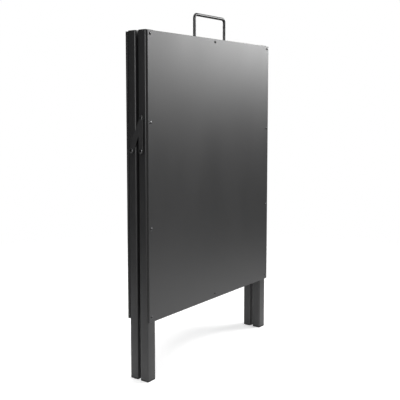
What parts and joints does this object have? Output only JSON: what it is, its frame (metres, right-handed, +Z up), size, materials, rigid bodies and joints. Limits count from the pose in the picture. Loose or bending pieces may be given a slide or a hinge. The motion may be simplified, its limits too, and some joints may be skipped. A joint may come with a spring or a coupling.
{
  "type": "folding table",
  "caption": "Folding table carried flat: panelled leaves on square-tube legs, hinged along the top and spread by folding side stays, with a bow handle on top.",
  "frame": {"origin": "on the floor, under the middle of the folded stack", "axes": "+Z up the legs, +Y from the front panel to the rear panel, +X to the right across the width"},
  "size_m": [0.5556, 0.074, 0.913],
  "materials": {
    "frame_tube": "black satin powder coat",
    "panel": "graphite satin laminate board",
    "cap": "black moulded plastic",
    "foot": "dull black",
    "screw": "blackened steel",
    "hinge": "zinc plated",
    "stay": "black satin powder coat",
    "handle": "black satin powder coat"
  },
  "bodies": {
    "front_leaf": {"front_bottom_rail": "frame_tube", "front_left_foot": "foot", "front_left_leg": "frame_tube", "front_left_top_cap": "cap", "front_panel": "panel", "front_panel_screw_01": "screw", "front_panel_screw_02": "screw", "front_panel_screw_03": "screw", "front_panel_screw_04": "screw", "front_panel_screw_05": "screw", "front_panel_screw_06": "screw", "front_panel_screw_07": "screw", "front_panel_screw_08": "screw", "front_panel_screw_09": "screw", "front_panel_screw_10": "screw", "front_right_foot": "foot", "front_right_leg": "frame_tube", "front_right_top_cap": "cap", "front_top_rail": "frame_tube", "handle": "handle", "handle_left_bolt": "screw", "handle_right_bolt": "screw", "left_hinge_front_plate": "hinge", "left_hinge_pin": "hinge", "left_stay_front_rivet": "screw", "right_hinge_front_plate": "hinge", "right_hinge_pin": "hinge", "right_stay_front_rivet": "screw"},
    "rear_leaf": {"left_hinge_rear_plate": "hinge", "left_stay_rear_rivet": "screw", "rear_bottom_rail": "frame_tube", "rear_left_foot": "foot", "rear_left_leg": "frame_tube", "rear_left_top_cap": "cap", "rear_panel": "panel", "rear_panel_screw_01": "screw", "rear_panel_screw_02": "screw", "rear_panel_screw_03": "screw", "rear_panel_screw_04": "screw", "rear_panel_screw_05": "screw", "rear_panel_screw_06": "screw", "rear_panel_screw_07": "screw", "rear_panel_screw_08": "screw", "rear_panel_screw_09": "screw", "rear_panel_screw_10": "screw", "rear_right_foot": "foot", "rear_right_leg": "frame_tube", "rear_right_top_cap": "cap", "rear_top_rail": "frame_tube", "right_hinge_rear_plate": "hinge", "right_stay_rear_rivet": "screw"},
    "left_front_bar": {"left_stay_front_bar": "stay", "left_stay_knee_outer_rivet": "screw"},
    "left_rear_bar": {"left_stay_knee_inner_rivet": "screw", "left_stay_rear_bar": "stay"},
    "right_front_bar": {"right_stay_front_bar": "stay", "right_stay_knee_outer_rivet": "screw"},
    "right_rear_bar": {"right_stay_knee_inner_rivet": "screw", "right_stay_rear_bar": "stay"}
  },
  "joints": [
    {"name": "leaf_hinge", "type": "hinge", "parent": "front_leaf", "child": "rear_leaf", "pos_m": [0, 0, 0.843], "axis": [1, 0, 0], "range_deg": [0, 27]},
    {"name": "left_front_bar_pivot", "type": "hinge", "parent": "front_leaf", "child": "left_front_bar", "pos_m": [-0.27, -0.0163, 0.566], "axis": [1, 0, 0], "range_deg": [-68.1, 0]},
    {"name": "left_rear_bar_pivot", "type": "hinge", "parent": "rear_leaf", "child": "left_rear_bar", "pos_m": [-0.27, 0.0163, 0.566], "axis": [1, 0, 0], "range_deg": [0, 44.8]},
    {"name": "right_front_bar_pivot", "type": "hinge", "parent": "front_leaf", "child": "right_front_bar", "pos_m": [0.27, -0.0163, 0.566], "axis": [1, 0, 0], "range_deg": [-68.1, 0]},
    {"name": "right_rear_bar_pivot", "type": "hinge", "parent": "rear_leaf", "child": "right_rear_bar", "pos_m": [0.27, 0.0163, 0.566], "axis": [1, 0, 0], "range_deg": [0, 44.8]}
  ],
  "couplings": [
    {"joint": "left_front_bar_pivot", "follows": "leaf_hinge", "ratio": -2.5213},
    {"joint": "left_rear_bar_pivot", "follows": "leaf_hinge", "ratio": 1.6588},
    {"joint": "right_front_bar_pivot", "follows": "leaf_hinge", "ratio": -2.5213},
    {"joint": "right_rear_bar_pivot", "follows": "leaf_hinge", "ratio": 1.6588}
  ]
}
